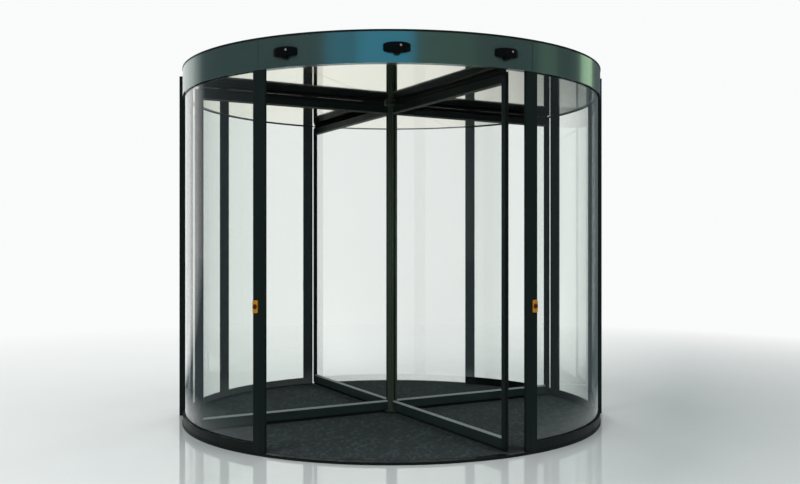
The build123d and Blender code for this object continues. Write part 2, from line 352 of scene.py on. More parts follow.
softbox("lamp_front_left", (-5.5, -6.5, 5.5), (0, 0, 1.4), 3.5, 230)
softbox("lamp_front_right", (6.5, -5.0, 4.0), (0, 0, 1.4), 3.0, 130)
softbox("lamp_back", (1.5, 7.5, 5.5), (0, 0, 1.2), 4.0, 240)
softbox("lamp_top", (0.0, -1.0, 7.5), (0, 0, 0), 5.0, 110)
print("four soft lamps")

# %% [markdown]
# The gloss of the fascia shows best where it mirrors something. Flat weak lamps give it
# that: blue in the middle, pale on the right. They are linked to the fascia alone, so
# that they colour neither the floor nor the glass.

# %% Flat lamps that only the fascia mirrors
mirrors = bpy.data.collections.new("panel_mirrors")
blue, pale = (0.04, 0.60, 1.0), (0.75, 1.0, 0.62)
panel_distance, panel_level, panel_height = 7.0, 4.15, 1.7


def mirrored_panel(name, bearing, left, right, tone, radiance):
    """A flat lamp that faces the axis from a bearing and shows in gloss."""
    panel = bpy.data.lights.new(name, "AREA")
    panel.shape = "RECTANGLE"
    panel.size, panel.size_y = right - left, panel_height
    panel.color = tone
    panel.energy = radiance * math.pi * panel.size * panel.size_y
    lamp = bpy.data.objects.new(name, panel)
    bpy.context.scene.collection.objects.link(lamp)
    lamp.location = at(bearing, panel_distance, panel_level, (left + right) / 2)
    lamp.rotation_euler = (math.radians(90), 0, math.radians(bearing))
    lamp.visible_camera = False
    lamp.visible_transmission = False
    lamp.light_linking.receiver_collection = mirrors
    print(f"{name}: {panel.size:.2f} m wide at bearing {bearing}")


mirrored_panel("panel_left", 0, -4.30, -2.35, blue, 0.55)
mirrored_panel("panel_middle", 0, -2.15, 1.10, blue, 0.95)
mirrored_panel("panel_right", 0, 1.30, 5.50, pale, 0.12)
mirrored_panel("panel_side", 76, -0.80, 0.80, pale, 0.18)
mirrored_panel("panel_far_side", 112, -0.90, 1.00, pale, 1.15)

# %% [markdown]
# ## Finishes
#
# Coated metal is the finish of every frame. The coat is a dark blue-green powder coat:
# half matt, with the fine orange peel that powder leaves when it melts, and a little
# paler along the edges, where it wears. One function makes it, because the rails,
# posts and curbs differ only in shade and gloss.

# %% Coated metal for the frames
def coated_metal(name, shade, gloss=0.34, level=0.10):
    finish = Finish(name)
    soft, edges = finish.worn_edges(0.0012)
    drift = finish.noise(0.7, detail=2)
    speck = finish.noise(0.0016, detail=2)
    base = finish.mix(drift, tuple(0.86 * c for c in shade), tuple(1.14 * c for c in shade))
    base = finish.mix(edges * 0.35, base, tuple(2.4 * c + 0.01 for c in shade))
    smear = finish.noise(0.09, detail=4, stretch=(1, 1, 2.5))
    return finish.surface(
        Base_Color=finish.mix(speck.between(0.62, 0.75) * 0.25, base, (0.10, 0.12, 0.12)),
        Roughness=smear.between(0.3, 0.75) * 0.14 + (gloss - 0.05),
        Specular_IOR_Level=level,
        Normal=finish.bump(finish.noise(0.0022, detail=2), 0.00012, 0.35, soft),
    )


wing_metal = coated_metal("wing_coat", (0.0130, 0.0200, 0.0200))
# The foot rails get a lighter copy of the wing coat: painted light, for the light that falls on
# them from above and off the floor.
foot_rail_painted_light_metal = coated_metal("foot_rail_painted_light_coat", (0.0220, 0.0340, 0.0350))
post_metal = coated_metal("post_coat", (0.0085, 0.0150, 0.0135))
curb_metal = coated_metal("curb_coat", (0.0085, 0.0130, 0.0115), 0.38)
# The shaft's coat is a much lighter copy of the frame coat: painted light, for the bright surround
# that lights it inside the drum. The collars share it.
shaft_metal = coated_metal("shaft_painted_light_coat", (0.0600, 0.0830, 0.0610), 0.40)
tray_metal = coated_metal("tray_coat", (0.0075, 0.0105, 0.0105), 0.42)
dressed([n for n in nodes if n.endswith(("_stile", "_top_rail"))], wing_metal)
dressed([n for n in nodes if n.endswith("_bottom_rail")], foot_rail_painted_light_metal)
dressed([n for n in nodes if n.endswith("_post")], post_metal)
dressed([n for n in nodes if n.endswith("_curb")], curb_metal)
dressed(["centre_shaft"], shaft_metal)
dressed(["floor_tray"], tray_metal)
bead_metal = coated_metal("bead_satin", (0.36, 0.40, 0.39), 0.30, 0.5)
# The head beads get a darker copy of the same satin: painted shade, for the little light that
# reaches the underside of the top rails.
head_bead_painted_shade_metal = coated_metal("head_bead_painted_shade", (0.10, 0.10, 0.085), 0.30, 0.4)

# %% [markdown]
# The fascia is rolled metal in dark slate with a satin clear coat. It reflects more than
# the frames do, so it shows what lies in front of the door. Rolling leaves long faint
# waves round the drum, and they break the reflections into soft upright bands.

# %% Satin slate for the fascia
finish = Finish("fascia_slate")
waves = finish.noise(0.16, detail=2, stretch=(1, 1, 6))
grime = finish.noise(0.30, detail=3, stretch=(1, 1, 3))
shade = finish.mix(finish.noise(0.8, detail=2), (0.125, 0.200, 0.175), (0.150, 0.235, 0.220))
fascia_metal = finish.surface(
    Base_Color=finish.mix(grime.between(0.45, 0.8) * 0.35, shade, (0.150, 0.195, 0.150)),
    Metallic=0.85,
    Roughness=grime * 0.08 + 0.16,
    Specular_IOR_Level=0.15,
    Coat_Weight=0.50,
    Coat_Roughness=0.10,
    Normal=finish.bump(waves, 0.0016, 0.6, finish.bump(finish.noise(0.002), 0.00008, 0.3)),
)
dressed(["front_fascia", "back_fascia"], fascia_metal)

# %% [markdown]
# Glass is a clear solid with a faint green body. A Mix Shader swaps it for a plain
# transparent shader on the rays that go to the lamps, so that the panes let light in
# without the noise that refracted light would bring.

# %% Safety glass
def safety_glass(name, tint):
    finish = Finish(name)
    film = finish.noise(0.35, detail=5)
    wave = finish.noise(0.5, detail=1)
    finish.surface(
        Base_Color=finish.mix(film, tint, tuple(0.985 * c for c in tint)),
        Roughness=film.between(0.62, 0.85) * 0.02,
        Transmission_Weight=1.0,
        IOR=1.47,
        Normal=finish.bump(wave, 0.0012, 0.25),
    )
    clear = finish.node("ShaderNodeBsdfTransparent", None, {"Color": tint})
    path = finish.node("ShaderNodeLightPath", output="Is Shadow Ray")
    solid = Value(finish, finish.shader.outputs["BSDF"])
    finish.show(finish.shade(path, solid, clear), "Material Output")
    return finish.material


wing_glass = safety_glass("wing_safety_glass", (0.985, 0.997, 0.989))
curved_glass = safety_glass("curved_safety_glass", (0.965, 0.990, 0.973))
dressed([f"{wing}_glass" for wing in wing_bearings], wing_glass)

# %% [markdown]
# The ceiling is lined with polished cream metal. It mirrors the bright backdrop and the
# tops of the wings, which is why the drum looks taller from below than it is.

# %% Polished cream ceiling
finish = Finish("ceiling_cream")
haze = finish.noise(0.30, detail=4)
ceiling_metal = finish.surface(
    Base_Color=finish.mix(haze, (0.97, 0.905, 0.77), (1.0, 0.95, 0.84)),
    Metallic=1.0,
    Roughness=haze.between(0.35, 0.8) * 0.05 + 0.03,
    Normal=finish.bump(finish.noise(0.45, detail=1), 0.0010, 0.3),
)
print(ceiling_metal.name, "made for the panels")

# %% [markdown]
# The roof is painted sheet under a film of dust. The pivot and the hub are turned steel:
# a lathe leaves fine rings round the axis, so their noise varies with the radius alone.

# %% Painted roof sheet with dust
finish = Finish("roof_sheet")
dust = finish.noise(0.4, detail=6)
roof_metal = finish.surface(
    Base_Color=finish.mix(dust.between(0.35, 0.75), (0.085, 0.10, 0.105), (0.125, 0.13, 0.125)),
    Roughness=dust * 0.25 + 0.42,
    Metallic=0.25,
    Normal=finish.bump(finish.noise(0.25, detail=2), 0.003, 0.3),
)
dressed(["canopy_roof"], roof_metal)

# %% Turned steel for the pivot and the hub
def turned_steel(name, shade, rough):
    """Steel with the fine rings that a lathe leaves round the axis."""
    finish = Finish(name)
    level = finish.node(
        "ShaderNodeVectorMath", {"operation": "MULTIPLY"}, {0: finish.place, 1: Vector((1, 1, 0))}
    )
    radius = finish.node("ShaderNodeVectorMath", {"operation": "LENGTH"}, {0: level}, "Value")
    spread = finish.node("ShaderNodeCombineXYZ", None, {"X": radius})
    rings = finish.node("ShaderNodeTexNoise", None, {"Vector": spread, "Scale": 900.0})
    stain = finish.noise(0.03, detail=4)
    return finish.surface(
        Base_Color=finish.mix(stain, shade, tuple(0.72 * c for c in shade)),
        Metallic=1.0,
        Roughness=rings * 0.16 + (rough - 0.08),
        Normal=finish.bump(rings, 0.0002, 0.5),
    )


dressed(["floor_pivot"], turned_steel("pivot_steel", (0.09, 0.095, 0.095), 0.38))
dressed(["ceiling_hub"], turned_steel("hub_steel", (0.10, 0.10, 0.09), 0.36))
screw_steel = turned_steel("screw_steel", (0.10, 0.11, 0.11), 0.36)


# %% [markdown]
# ## Plastics, rubber and fibre
#
# Small parts tell a viewer how large the door is, so each gets its own finish: gloss
# black sensor housings, amber button plates with dark red caps, matt rubber gaskets,
# the charcoal pile of the entrance mat and the dark fibre of the brushes.

# %% Moulded plastics and rubber
def moulded(name, shade, rough, grain=0.0009, depth=0.00006, level=0.5):
    """Plastic with a fine moulded grain."""
    finish = Finish(name)
    soft, edges = finish.worn_edges(0.0008)
    haze = finish.noise(0.04, detail=4)
    base = finish.mix(haze, tuple(0.88 * c for c in shade), tuple(1.1 * c for c in shade))
    return finish.surface(
        Base_Color=finish.mix(edges * 0.25, base, tuple(min(1, 1.7 * c + 0.01) for c in shade)),
        Roughness=haze * 0.12 + (rough - 0.06),
        Specular_IOR_Level=level,
        Normal=finish.bump(finish.noise(grain, detail=2), depth, 0.5, soft),
    )


sensor_plastic = moulded("sensor_black", (0.0030, 0.0034, 0.0042), 0.22, level=0.12)
lens_plastic = moulded("lens_black", (0.0030, 0.0020, 0.0030), 0.10, level=0.35)
lamp_plastic = moulded("lamp_pale", (0.27, 0.28, 0.27), 0.25)
plate_plastic = moulded("plate_amber", (0.56, 0.265, 0.016), 0.42, level=0.15)
cap_plastic = moulded("cap_red", (0.115, 0.012, 0.008), 0.30, level=0.25)
rubber = moulded("gasket_rubber", (0.0055, 0.0062, 0.0062), 0.62, 0.0014, 0.00015, 0.12)
dressed(["canopy_sensors"], sensor_plastic)
dressed(["button_plates"], plate_plastic)
dressed(["button_caps"], cap_plastic)

# %% Charcoal pile of the mat
finish = Finish("mat_pile")
tuft = finish.noise(0.0022, detail=3)
fleck = finish.noise(0.006, detail=2, stretch=(2.5, 1, 1))
trodden = finish.noise(0.55, detail=4)
lint = finish.noise(0.030, detail=5, stretch=(1, 2.5, 1))
pile = finish.mix(tuft, (0.0037, 0.0072, 0.0080), (0.0205, 0.0335, 0.0365))
pile = finish.mix(fleck.between(0.60, 0.72) * 0.5, pile, (0.037, 0.055, 0.058))
pile = finish.mix(lint.between(0.50, 0.66) * 0.8, pile, (0.039, 0.066, 0.068))
mat_pile = finish.surface(
    Base_Color=finish.mix(trodden.between(0.45, 0.8) * 0.35, pile, (0.020, 0.031, 0.032)),
    Roughness=0.95,
    Specular_IOR_Level=0.15,
    Sheen_Weight=0.15,
    Sheen_Roughness=0.5,
    Normal=finish.bump(tuft, 0.0012, 0.8),
)

# %% Fibre of the brushes
finish = Finish("brush_fibre")
strand = finish.noise(0.0025, detail=2)
brush_fibre = finish.surface(
    Base_Color=finish.mix(strand, (0.006, 0.007, 0.007), (0.030, 0.033, 0.033)),
    Roughness=strand * 0.2 + 0.45,
    Specular_IOR_Level=0.15,
    Normal=finish.bump(strand, 0.0004, 0.4),
)
print("soft finishes made")


# %% [markdown]
# ## Building meshes from rings
#
# Most parts here are an outline carried along a path: a fascia goes round the drum, a
# gasket round a pane, a screw up its own axis. `Skins` joins rings of points into
# closed skins and gathers them in one mesh. Closed skins have no stray faces and an
# inside and an outside, which a printed or exported part needs.

# %% Closed skins from rings of points
crease = math.radians(30)


class Skins:
    def __init__(self):
        self.points = []
        self.faces = []

    def skin(self, rings, closed=False):
        """Joins rings in order. An open row of rings is capped at its ends."""
        size = len(rings[0])
        starts = [len(self.points) + i * size for i in range(len(rings))]
        for ring in rings:
            self.points.extend(ring)
        pairs = list(zip(starts, starts[1:]))
        if closed:
            pairs.append((starts[-1], starts[0]))
        else:
            self.faces.append([starts[0] + k for k in reversed(range(size))])
            self.faces.append([starts[-1] + k for k in range(size)])
        for a, b in pairs:
            for k in range(size):
                n = (k + 1) % size
                self.faces.append([a + k, a + n, b + n, b + k])

    def turned(self, centre, axis, profile, steps=20):
        """A solid turned round an axis from a profile of (radius, height) pairs."""
        axis = Vector(axis).normalized()
        first = axis.orthogonal().normalized()
        second = axis.cross(first)
        turns = [2 * math.pi * k / steps for k in range(steps)]
        sides = [first * math.cos(t) + second * math.sin(t) for t in turns]
        self.skin([[centre + axis * h + s * r for s in sides] for r, h in profile])

    def piece(self, name, material, body, slot, replaced=()):
        """Makes the object and says which body it rides on and what it stands for."""
        mesh = bpy.data.meshes.new(name)
        mesh.from_pydata(self.points, [], self.faces)
        shape = bmesh.new()
        shape.from_mesh(mesh)
        bmesh.ops.recalc_face_normals(shape, faces=shape.faces)
        shape.to_mesh(mesh)
        shape.free()
        mesh.shade_smooth()
        mesh.set_sharp_from_angle(angle=crease)
        mesh.materials.append(material)
        made = bpy.data.objects.new(name, mesh)
        bpy.context.scene.collection.objects.link(made)
        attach(made, body)
        if replaced:
            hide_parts(*replaced)
        mesh.calc_loop_triangles()
        print(f"{name}: {len(mesh.loop_triangles)} triangles")
        return made


def steps_between(start, end, size):
    """Evenly spaced numbers from start to end, no further apart than size."""
    count = max(1, math.ceil(abs(end - start) / size))
    return [start + (end - start) * i / count for i in range(count + 1)]


# %% [markdown]
# ## Fascia
#
# The fascia is bent sheet: a plain band with a rolled lip along its top. The solid has
# flats of several centimetres round the drum, and a gloss surface shows each of them.
# It is built again with a ring every degree, with the narrow upright joints between
# its sheets, and it stands for the two solids. The lip is a separate dark trim.

# %% Fascia sheets with upright joints
lip_foot = canopy_top - 0.014
sheet_joints = (-147.0, -90.0, -33.0, 33.0, 90.0, 147.0)
sheet_joint_half, sheet_joint_depth = 0.0022, 0.0025
joint_half_angle = math.degrees(sheet_joint_half / fascia_radius)


def fascia_outline(inset):
    """Radius and height of the fascia's section, its face set back by an inset."""
    face, sheet = fascia_radius - inset, fascia_radius - 0.005
    channel, ledge = fascia_radius - 0.041, fascia_radius - 0.057
    groove_inner, groove_outer = pane_inner - 0.001, pane_outer + 0.001
    foot, top = ceiling_level, canopy_top - 0.0003
    flange, ledge_top, channel_top, groove_top = (
        canopy_top - 0.008, foot + 0.004, foot + 0.022, foot + 0.014
    )
    return [
        (face - 0.0012, foot),
        (face, foot + 0.0012),
        (face, lip_foot),
        (face, top),
        (sheet, top),
        (sheet, flange),
        (fascia_radius - 0.040, flange),
        (sheet, flange - 0.020),
        (sheet, channel_top),
        (channel, channel_top),
        (channel, ledge_top),
        (ledge, ledge_top),
        (ledge, foot + 0.0008),
        (ledge + 0.0008, foot),
        (groove_inner, foot),
        (groove_inner, groove_top),
        (groove_outer, groove_top),
        (groove_outer, foot),
    ]


for half, start in (("front", -90.0), ("back", 90.0)):
    cladding = Skins()
    stations = [(b, 0.0) for b in steps_between(start, start + 180.0, 1.0)]
    for joint in sheet_joints:
        joint = joint + 360.0 if joint < start else joint
        if start < joint < start + 180.0:
            for shift, share in ((-1, 0), (-0.5, 1), (0.5, 1), (1, 0)):
                stations.append((joint + shift * joint_half_angle, share * sheet_joint_depth))
    cladding.skin(
        [[at(b, r, h) for r, h in fascia_outline(inset)] for b, inset in sorted(stations)]
    )
    mirrors.objects.link(
        cladding.piece(
            f"{half}_fascia_cladding", fascia_metal, "drum", "fascia_metal", [f"{half}_fascia"]
        )
    )

# %% Dark trim along the top of the fascia
trim_outline = [
    (fascia_radius + 0.0002, lip_foot),
    (drum_radius - 0.0006, lip_foot + 0.0024),
    (drum_radius, lip_foot + 0.0034),
    (drum_radius, canopy_top - 0.0012),
    (drum_radius - 0.0010, canopy_top),
    (fascia_radius + 0.0002, canopy_top),
]
trim_metal = coated_metal("trim_coat", (0.0080, 0.0115, 0.0105), 0.36)
trim = Skins()
trim.skin([[at(b, r, h) for r, h in trim_outline] for b in range(0, 360, 2)], closed=True)
trim.piece("fascia_top_trim", trim_metal, "drum", "fascia_metal")

# %% [markdown]
# ## Curved panes and their gaskets
#
# Each pane is 12 mm glass bent to the drum. A smooth bend needs a ring at every degree,
# or the reflections break into strips. The pane's long edges are ground with a small
# bevel. The gasket is one mitred loop round each face of a pane, because a black line
# round the glass is what the eye reads as a glazed frame.

# %% The bays between the posts
bay_names = ["front_{}", "{}_side", "back_{}"]
bays = {}
for side_name, side in (("right", 1), ("left", -1)):
    for pattern, before, after in zip(bay_names, right_posts, right_posts[1:]):
        ends = sorted([(side * b, width) for b, width in (before, after)])
        bays[pattern.format(side_name)] = ends
print(", ".join(bays))


# %% Bent panes with ground edges
pane_middle = (pane_inner + pane_outer) / 2
ground, grip = 0.0012, 0.010
pane_outline = [
    (pane_inner + ground, pane_bottom),
    (pane_outer - ground, pane_bottom),
    (pane_outer, pane_bottom + ground),
    (pane_outer, pane_top - ground),
    (pane_outer - ground, pane_top),
    (pane_inner + ground, pane_top),
    (pane_inner, pane_top - ground),
    (pane_inner, pane_bottom + ground),
]
for bay, ((first, first_width), (last, last_width)) in bays.items():
    start = first + math.degrees((first_width / 2 - grip) / pane_middle)
    end = last - math.degrees((last_width / 2 - grip) / pane_middle)
    pane = Skins()
    pane.skin([[at(b, r, h) for r, h in pane_outline] for b in steps_between(start, end, 1.0)])
    pane.piece(f"{bay}_curved_pane", curved_glass, "drum", "curved_glass", [f"{bay}_glass"])


# %% Gaskets round the curved panes
gasket_section = [
    (0.0, 0.0002), (0.0, 0.0042), (0.0022, 0.0040), (0.0042, 0.0012), (0.0042, 0.0002)
]
for bay, ((first, first_width), (last, last_width)) in bays.items():
    gaskets = Skins()
    for face, outwards in ((pane_outer, 1), (pane_inner, -1)):
        start = first + math.degrees(math.asin(first_width / 2 / face))
        end = last - math.degrees(math.asin(last_width / 2 / face))
        arc = steps_between(start, end, 2.0)
        corners = [(start, 1), *((b, 0) for b in arc[1:-1]), (end, -1)]
        loop = [(b, inward, curb_top, 1) for b, inward in corners]
        loop += [(b, inward, ceiling_level, -1) for b, inward in reversed(corners)]
        rings = [
            [
                at(b + math.degrees(inward * d / face), face + outwards * t, level + up * d)
                for d, t in gasket_section
            ]
            for b, inward, level, up in loop
        ]
        gaskets.skin(rings, closed=True)
    gaskets.piece(f"{bay}_pane_gaskets", rubber, "drum", "brush")

# %% [markdown]
# ## Entrance mat
#
# The mat is rows of stiff pile that run across the way in. The rows are real ridges,
# cut where the round tray and the pivot end them. The pile itself is far too fine for
# a mesh and stays in the finish.

# %% Rows of pile cut to a circle
row_pitch, row_half = 0.009, 0.0036
row_foot, row_top = tray_top - 0.0045, tray_top
shoulder, crown, crown_half = row_top - 0.0016, row_top - 0.0003, row_half * 0.55
row_section = [
    (-row_half, row_foot),
    (-row_half, shoulder),
    (-crown_half, crown),
    (0.0, row_top),
    (crown_half, crown),
    (row_half, shoulder),
    (row_half, row_foot),
]
field_radius = mat_radius - 0.012
pivot_clear = 8.5 * row_pitch
rows = Skins()


def half_width(y, radius):
    """Half the chord of a circle at a distance from its centre."""
    return math.sqrt(max(0.0, radius * radius - y * y))


def pile_row(y, left, right):
    """One ridge from left to right, where each end may be a function of y."""
    rows.skin(
        [[Vector((end(y + dy), y + dy, h)) for dy, h in row_section] for end in (left, right)]
    )


row_count = int(2 * (field_radius - row_half) / row_pitch)
for i in range(row_count + 1):
    y = (i - row_count / 2) * row_pitch
    if abs(y) + row_half < pivot_clear:
        for side in (-1, 1):
            pile_row(
                y,
                lambda v, s=side: s * half_width(v, pivot_clear),
                lambda v, s=side: s * half_width(v, field_radius),
            )
    elif abs(y) - row_half > pivot_clear:
        pile_row(y, lambda v: -half_width(v, field_radius), lambda v: half_width(v, field_radius))
rows.piece("mat_pile_rows", mat_pile, "drum", "mat", ["entrance_mat"])

# %% [markdown]
# A rubber backing holds the rows together, and its raised edge hides their cut ends. It
# is one closed ring round the axis.

# %% Rubber backing and edge of the mat
backing = Skins()
back_foot, web_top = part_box("entrance_mat")[0].z, tray_top - 0.0040
bore, edge_round = 0.066, 0.0008
back_outline = [
    (bore, back_foot),
    (mat_radius, back_foot),
    (mat_radius, tray_top - edge_round),
    (mat_radius - edge_round, tray_top),
    (mat_radius - 0.0095, tray_top),
    (mat_radius - 0.0110, web_top),
    (bore + 0.0075, web_top),
    (bore + 0.0065, tray_top),
    (bore + edge_round, tray_top),
    (bore, tray_top - edge_round),
]
backing.skin([[at(b, r, h) for r, h in back_outline] for b in range(0, 360, 2)], closed=True)
backing.piece("mat_backing", rubber, "drum", "mat")

# %% [markdown]
# ## Brush seals
#
# Along its foot, head and outer edge each wing carries a brush: two staggered rows of
# fine fibres that close the gap without touching hard. Every fibre is a thin tapering
# prism with a little random lean, and one seeded generator keeps each run the same. The
# inside of a real brush is packed too tight to see through, so a thin core fills it.

# %% Fibres in two staggered rows
fibre_pitch, row_offset = 0.0022, 0.0018
fibre_half, tip_half = 0.00135, 0.00115
foot_reach, head_reach, edge_reach = 0.0235, 0.0288, 0.0197
fibre_root, unevenness = 0.005, 0.0005
lean_along, lean_across = 0.0016, 0.0014
core_root, core_half, core_short = 0.004, 0.0009, 0.0007
brush_start, brush_end, edge_overrun = lug_reach + 0.027, stile_outer - 0.007, 0.016
chance = random.Random(7)


def fibre(skins, root, tip, along, across):
    """One fibre: a three-sided prism that tapers from root to tip."""
    corners = (along, along * -0.5 + across * 0.87, along * -0.5 - across * 0.87)
    ends = ((root, fibre_half), (tip, tip_half))
    skins.skin([[end + c * half for c in corners] for end, half in ends])


for wing, bearing in wing_bearings.items():
    bristles = Skins()
    across = at(bearing, 0, 0, 1)
    outward = at(bearing, 1, 0)
    upward = Vector((0, 0, 1))
    # A strip runs from a radius and height to another, and its fibres point one way.
    strips = [
        ((brush_start, wing_bottom), (brush_end, wing_bottom), -upward, foot_reach),
        ((brush_start, wing_top), (brush_end, wing_top), upward, head_reach),
        (
            (stile_outer, wing_bottom - edge_overrun),
            (stile_outer, wing_top + edge_overrun),
            outward,
            edge_reach,
        ),
    ]
    for first, last, way, longest in strips:
        start, end = at(bearing, *first), at(bearing, *last)
        length = (end - start).length
        along = (end - start) / length
        thick = across * core_half
        low, high = way * -core_root, way * (longest - core_short)
        corners = (low - thick, high - thick, high + thick, low + thick)
        bristles.skin([[p + corner for corner in corners] for p in (start, end)])
        for row, stagger in ((-1, 0.0), (1, 0.5)):
            for k in range(int(length / fibre_pitch)):
                place = along * ((k + stagger) * fibre_pitch) + across * (row * row_offset)
                root = start + place
                lean = along * chance.uniform(-lean_along, lean_along)
                lean += across * chance.uniform(-lean_across, lean_across)
                tip = root + way * (longest - chance.random() * unevenness) + lean
                fibre(bristles, root - way * fibre_root, tip, along, across)
    bristles.piece(f"{wing}_brushes", brush_fibre, "rotor", "brush", ["brush_seals"])

# %% [markdown]
# ## Gaskets and screws of the wings
#
# A wing's glass sits in the grooves of its rails, its stile and the shaft, packed with
# black rubber. A mitred loop on each face stands for it.

# %% Gaskets round the wing glass
glass_half = 0.005
for wing, bearing in wing_bearings.items():
    gaskets = Skins()
    corners = [
        (lug_reach, bottom_rail_top, 1, 1),
        (stile_inner, bottom_rail_top, -1, 1),
        (stile_inner, top_rail_bottom, -1, -1),
        (lug_reach, top_rail_bottom, 1, -1),
    ]
    for face in (1, -1):
        rings = [
            [
                at(bearing, r + sr * d, z + sz * d, face * (glass_half + t))
                for d, t in gasket_section
            ]
            for r, z, sr, sz in corners
        ]
        gaskets.skin(rings, closed=True)
    gaskets.piece(f"{wing}_gaskets", rubber, "rotor", "brush")

# %% [markdown]
# Beside the gasket stands the glazing bead, a satin strip that snaps over the edge of
# the rail and slopes away from the glass. It runs along the foot and the head of every
# wing. At the foot it is the pale line that catches more light than the dark coat round
# it. At the head the bead gets a darker copy of the satin, which is painted shade.

# %% Glazing beads along the rails
bead_section = [
    (0.0094, 0.0),
    (0.0094, 0.0105),
    (0.0104, 0.0122),
    (0.0120, 0.0118),
    (0.0152, 0.0034),
    (0.0152, 0.0),
]
bead_ends = (lug_reach + 0.0005, stile_inner - 0.0005)
for wing, bearing in wing_bearings.items():
    for rail, level, up, metal in (
        ("foot", bottom_rail_top, 1, bead_metal),
        ("head", top_rail_bottom, -1, head_bead_painted_shade_metal),
    ):
        beads = Skins()
        for face in (1, -1):
            beads.skin(
                [
                    [at(bearing, r, level + up * h, face * t) for t, h in bead_section]
                    for r in bead_ends
                ]
            )
        beads.piece(f"{wing}_{rail}_beads", metal, "rotor", "wing_frame")

# %% [markdown]
# ## Ceiling panels
#
# The lining comes as eight wedge panels with a narrow shadow joint between them. They
# replace the one round solid, and they lie on the same ledge.

# %% Wedge panels
ceiling_low, ceiling_high = (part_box("canopy_ceiling")[i].z for i in (0, 1))
panel_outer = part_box("canopy_ceiling")[1].x
panel_inner, panel_bevel = 0.0715, 0.0012
panel_count = 8
joint_half = 0.0015
# Radius, height and how far the point is set in from the panel's edge at a joint.
panel_section = [
    (panel_inner + panel_bevel, ceiling_low, panel_bevel),
    (panel_outer, ceiling_low, panel_bevel),
    (panel_outer, ceiling_high, 0),
    (panel_inner, ceiling_high, 0),
    (panel_inner, ceiling_low + panel_bevel, 0),
]


def panel_point(bearing, side, radius, height, inset):
    """A point of a panel, where side is 1 or -1 beside a joint and 0 between them."""
    turn = math.degrees(math.asin((joint_half + inset) / radius))
    return at(bearing + side * turn, radius, height)


panels = Skins()
for i in range(panel_count):
    first = (i + 0.5) * 360 / panel_count
    stations = steps_between(first, first + 360 / panel_count, 1.5)
    sides = [1, *[0] * (len(stations) - 2), -1]
    panels.skin(
        [[panel_point(b, side, *p) for p in panel_section] for b, side in zip(stations, sides)]
    )
panels.piece("ceiling_panels", ceiling_metal, "drum", "ceiling_panel", ["canopy_ceiling"])

# %% [markdown]
# ## Small parts
#
# Sensors, buttons and fixings are small, and each is turned from a profile: a lens with
# its ring, a lamp, a bezel, a screw with a socket in its head.

# %% Sensor housings, full in the middle and slim at their ends
sensor_bearings = [face + shift for face in (0.0, 180.0) for shift in (-25.5, 0.0, 25.5)]
lens_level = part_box("canopy_sensors")[0].z
lens_ring_level = lens_level + 0.010
lens_radius = fascia_radius + 0.022
sensor_middle = (lens_ring_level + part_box("canopy_sensors")[1].z) / 2
sensor_half_width, sensor_rings = 0.094, 29
end_depth, middle_depth = 0.006, 0.046
end_half, middle_half = 0.022, 0.034
down = Vector((0, 0, -1))
lens_ring = [(0.0240, -0.004), (0.0240, 0.0082), (0.0233, 0.0094), (0.0222, 0.0100)]


def housing_outline(share):
    """Depth and height of the housing's section at a share of its half width."""
    fullness = max(0.0, 1 - abs(share) ** 2.4) ** 0.6
    depth = end_depth + (middle_depth - end_depth) * fullness
    half = end_half + (middle_half - end_half) * fullness
    corner = min(0.012, depth * 0.6)
    upper = [
        (depth - corner * (1 - math.sin(t)), half - corner * (1 - math.cos(t)))
        for t in (0.0, 0.4, 0.8, 1.2, math.pi / 2)
    ]
    return [(0.0, half), *upper, *((d, -h) for d, h in reversed(upper)), (0.0, -half)]


housings = Skins()
for bearing in sensor_bearings:
    rings = []
    for k in range(sensor_rings):
        share = -math.cos(math.pi * k / (sensor_rings - 1))
        turned = bearing + math.degrees(share * sensor_half_width / fascia_radius)
        rings.append(
            [at(turned, fascia_radius + d, sensor_middle + h) for d, h in housing_outline(share)]
        )
    housings.skin(rings)
    housings.turned(at(bearing, lens_radius, lens_ring_level), down, lens_ring, 32)
housings.piece("sensor_housings", sensor_plastic, "drum", "sensor_plastic", ["canopy_sensors"])

# %% Lenses and lamps of the sensors
dome_radius, dome_foot, dome_rise = 0.0165, 0.0006, 0.0075
dome = [(0.0172, -0.002), (0.0172, dome_foot)]
for t in (0.1, 0.4, 0.7, 1.0, 1.3, 1.5):
    dome.append((dome_radius * math.cos(t), dome_foot + dome_rise * math.sin(t)))
lamp_button = [(0.0085, -0.003), (0.0085, 0.0004), (0.0068, 0.0014), (0.0025, 0.0020)]
lamp_radius, lamp_level, lamp_across = fascia_radius + 0.0438, ceiling_level + 0.112, 0.026
lenses = Skins()
lamps = Skins()
for bearing in sensor_bearings:
    lenses.turned(at(bearing, lens_radius, lens_level), down, dome, 28)
    centre = at(bearing, lamp_radius, lamp_level, lamp_across)
    lamps.turned(centre, at(bearing, 1, 0), lamp_button, 16)
lenses.piece("sensor_lenses", lens_plastic, "drum", "sensor_plastic")
lamps.piece("sensor_lamps", lamp_plastic, "drum", "sensor_plastic")


# %% Bezels and screws of the buttons
def ring_profile(inner, outer, foot, top):
    """A half-round ring, as rings of (radius, height) that close on themselves."""
    middle, half = (inner + outer) / 2, (outer - inner) / 2
    turns = (0.0, 0.5, 1.05, 1.57, 2.09, 2.64, math.pi)
    arc = [(middle + half * math.cos(t), foot + (top - foot) * math.sin(t)) for t in turns]
    return [*arc, (inner, foot - 0.001), (outer, foot - 0.001)]


def torus(skins, centre, axis, section, steps=32):
    """A closed ring round an axis from a section of (radius, height) pairs."""
    first = axis.orthogonal().normalized()
    second = axis.cross(first)
    rings = []
    for k in range(steps):
        turn = 2 * math.pi * k / steps
        side = first * math.cos(turn) + second * math.sin(turn)
        rings.append([centre + side * r + axis * h for r, h in section])
    skins.skin(rings, closed=True)


